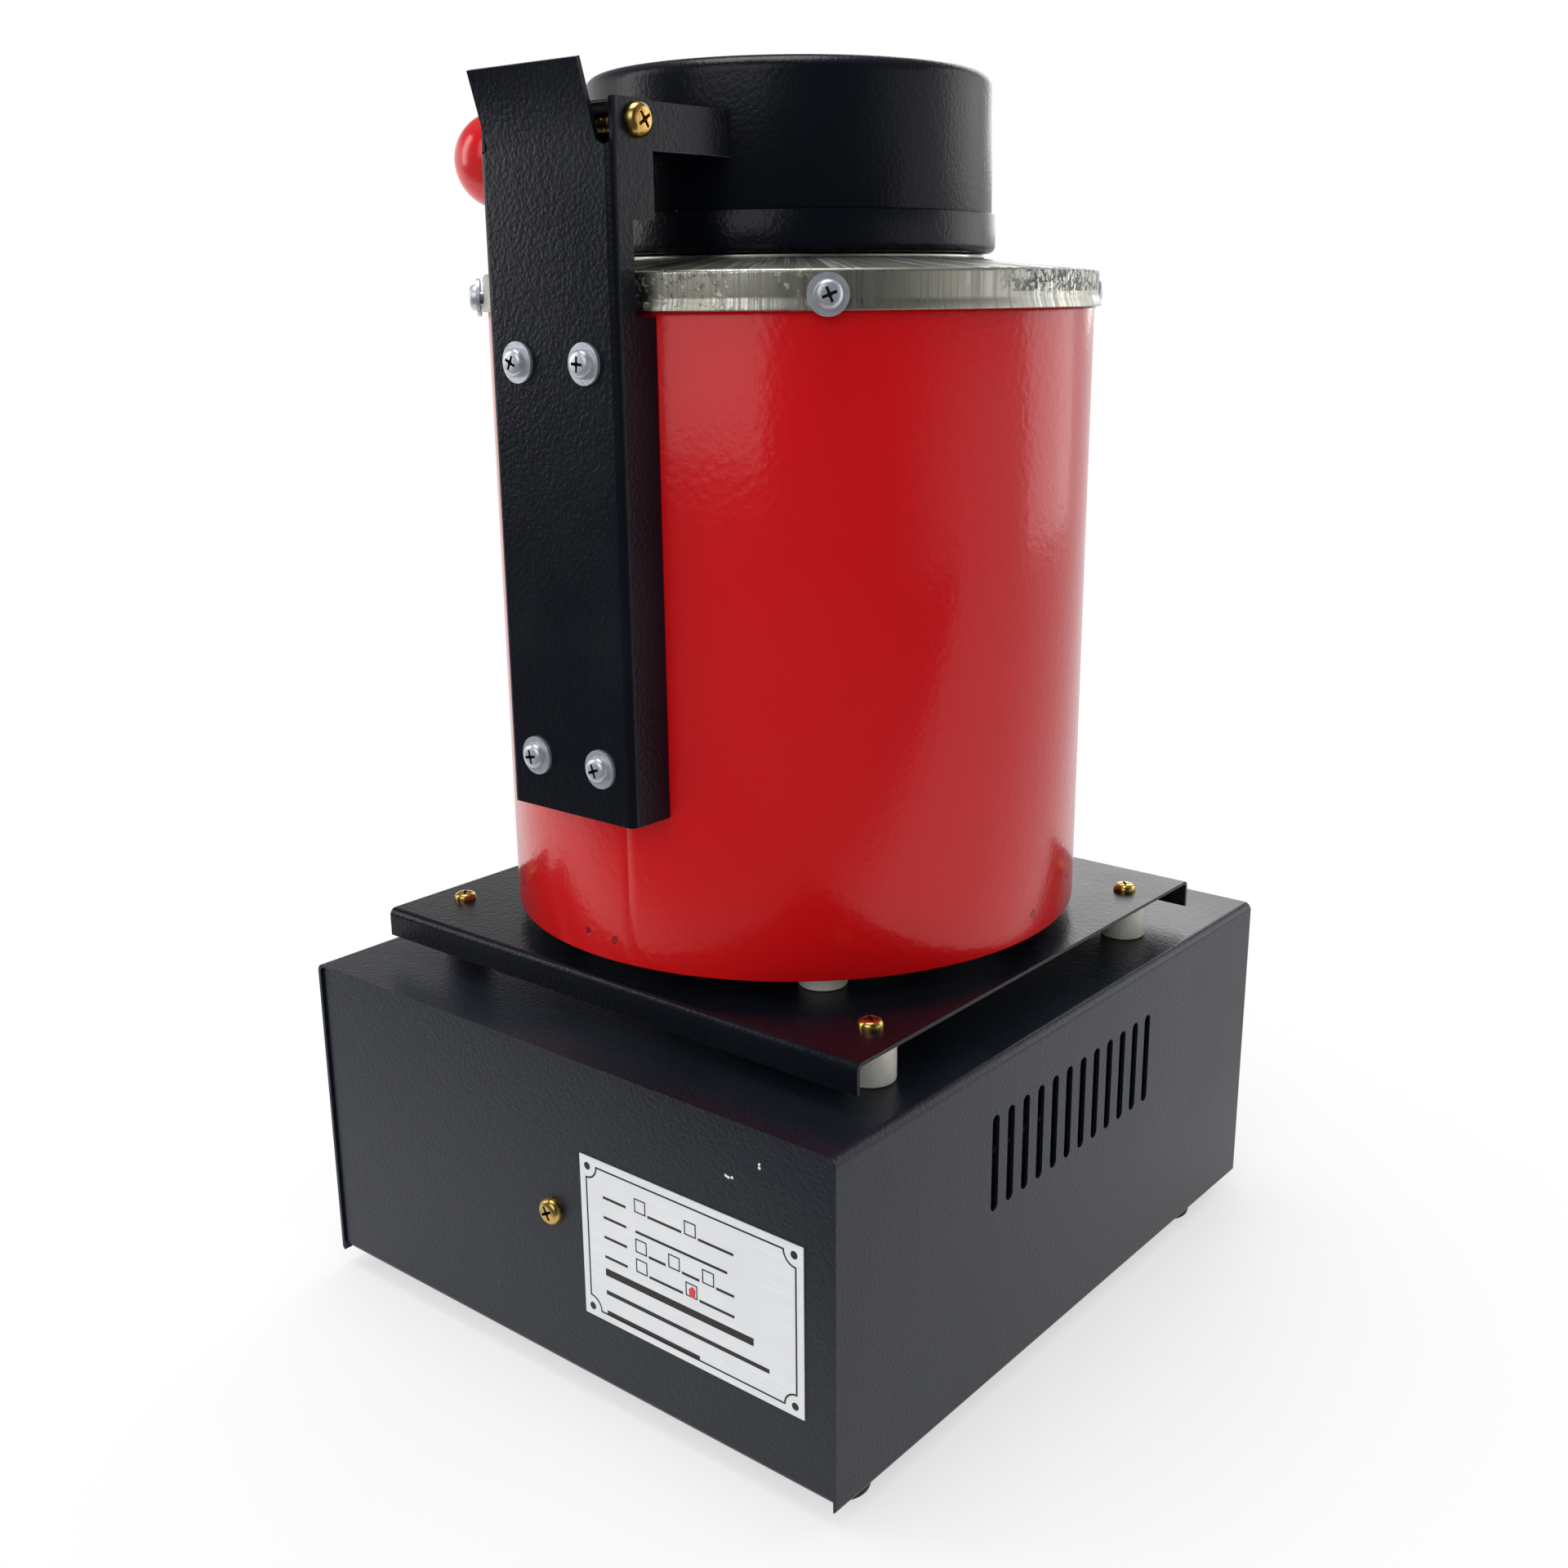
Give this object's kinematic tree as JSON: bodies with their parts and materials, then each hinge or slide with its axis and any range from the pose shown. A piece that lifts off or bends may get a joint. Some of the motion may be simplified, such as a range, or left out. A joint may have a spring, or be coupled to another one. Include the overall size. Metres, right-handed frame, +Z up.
{
  "type": "electric melting furnace",
  "caption": "Small electric crucible furnace: round insulated barrel on a square control box, with a hinged lid that opens by a ball handle.",
  "frame": {"origin": "on the floor under the middle of the whole furnace's bounding box, handle included", "axes": "+Z up; +Y towards the back, where the hinge bracket and nameplate are; +X towards the ball handle"},
  "size_m": [0.2732, 0.2728, 0.417],
  "materials": {
    "black_powder_coat": "fine leather-textured black powder coat, semi-gloss",
    "red_enamel": "glossy red enamel with slight orange peel",
    "stainless": "spun stainless steel with fine turning marks and scratches",
    "zinc_plated": "bright blue zinc plate",
    "yellow_zinc": "yellow passivated zinc plate",
    "galvanised": "plain zinc-coated sheet",
    "white_ceramic": "unglazed white electrical ceramic",
    "ceramic_fibre": "matt off-white ceramic fibre",
    "refractory": "cast refractory, matt cream",
    "graphite": "machined graphite, satin dark grey",
    "heating_wire": "oxidised resistance wire",
    "plate_silver": "satin silver plate with a thin printed black border",
    "red_plastic": "polished red phenolic",
    "black_plastic": "fine moulded black plastic",
    "grey_plastic": "moulded grey plastic",
    "dark_window": "dark red-tinted display window",
    "rubber_black": "matt black rubber",
    "heat_sink": "extruded aluminium",
    "wire_red": "red silicone insulation"
  },
  "bodies": {
    "furnace": {"base_cover": "black_powder_coat", "chassis_pan": "black_powder_coat", "rubber_feet": "rubber_black", "foot_screws": "zinc_plated", "foot_nuts": "zinc_plated", "nameplate": "plate_silver", "rear_panel_screw": "yellow_zinc", "terminal_bracket": "galvanised", "terminal_block": "black_plastic", "relay_heatsink": "heat_sink", "heatsink_screws": "zinc_plated", "relay_block": "grey_plastic", "deck_plate": "black_powder_coat", "deck_standoffs": "white_ceramic", "deck_screws": "yellow_zinc", "deck_nuts": "zinc_plated", "barrel_standoffs": "white_ceramic", "barrel_screws": "zinc_plated", "barrel_nuts": "zinc_plated", "barrel_shell": "red_enamel", "barrel_floor": "galvanised", "top_cap": "stainless", "cap_screws": "zinc_plated", "mouth_collar": "stainless", "insulation_base": "ceramic_fibre", "insulation_blanket": "ceramic_fibre", "insulation_ring": "ceramic_fibre", "heater_muffle": "refractory", "heating_element": "heating_wire", "heater_leads": "heating_wire", "lead_bushes": "white_ceramic", "thermocouple": "refractory", "hearth_disc": "refractory", "crucible": "graphite", "hinge_bracket": "black_powder_coat", "bracket_screws": "zinc_plated", "bracket_spacers": "galvanised", "pivot_screw": "yellow_zinc", "pivot_nut": "zinc_plated", "control_plate": "plate_silver", "controller_case": "black_plastic", "controller_bezel": "black_plastic", "display_window": "dark_window", "switch_frame": "black_plastic", "inlet_body": "black_plastic", "inlet_pins": "zinc_plated", "panel_screws": "zinc_plated", "wiring": "wire_red"},
    "lid": {"lid_shell": "black_powder_coat", "lid_band": "black_powder_coat", "lid_insulation": "ceramic_fibre", "hinge_arm": "black_powder_coat", "handle_rod": "zinc_plated", "handle_nut": "zinc_plated", "ball_knob": "red_plastic"},
    "rocker": {"power_rocker": "red_plastic"},
    "key_set": {"key_set": "grey_plastic"},
    "key_shift": {"key_shift": "grey_plastic"},
    "key_down": {"key_down": "grey_plastic"},
    "key_up": {"key_up": "grey_plastic"}
  },
  "joints": [
    {"name": "lid_hinge", "type": "hinge", "parent": "furnace", "child": "lid", "pos_m": [-0.0229, 0.11005, 0.3964], "axis": [-1, 0, 0], "range_deg": [0, 115]},
    {"name": "power_rocker", "type": "hinge", "parent": "furnace", "child": "rocker", "pos_m": [0.0079, -0.12685, 0.0625], "axis": [-1, 0, 0], "range_deg": [0, 24]},
    {"name": "key_set_press", "type": "slide", "parent": "furnace", "child": "key_set", "axis": [0, 1, 0], "range_m": [0, 0.0008], "stiffness_N_per_m": 400},
    {"name": "key_shift_press", "type": "slide", "parent": "furnace", "child": "key_shift", "axis": [0, 1, 0], "range_m": [0, 0.0008], "stiffness_N_per_m": 400},
    {"name": "key_down_press", "type": "slide", "parent": "furnace", "child": "key_down", "axis": [0, 1, 0], "range_m": [0, 0.0008], "stiffness_N_per_m": 400},
    {"name": "key_up_press", "type": "slide", "parent": "furnace", "child": "key_up", "axis": [0, 1, 0], "range_m": [0, 0.0008], "stiffness_N_per_m": 400}
  ]
}
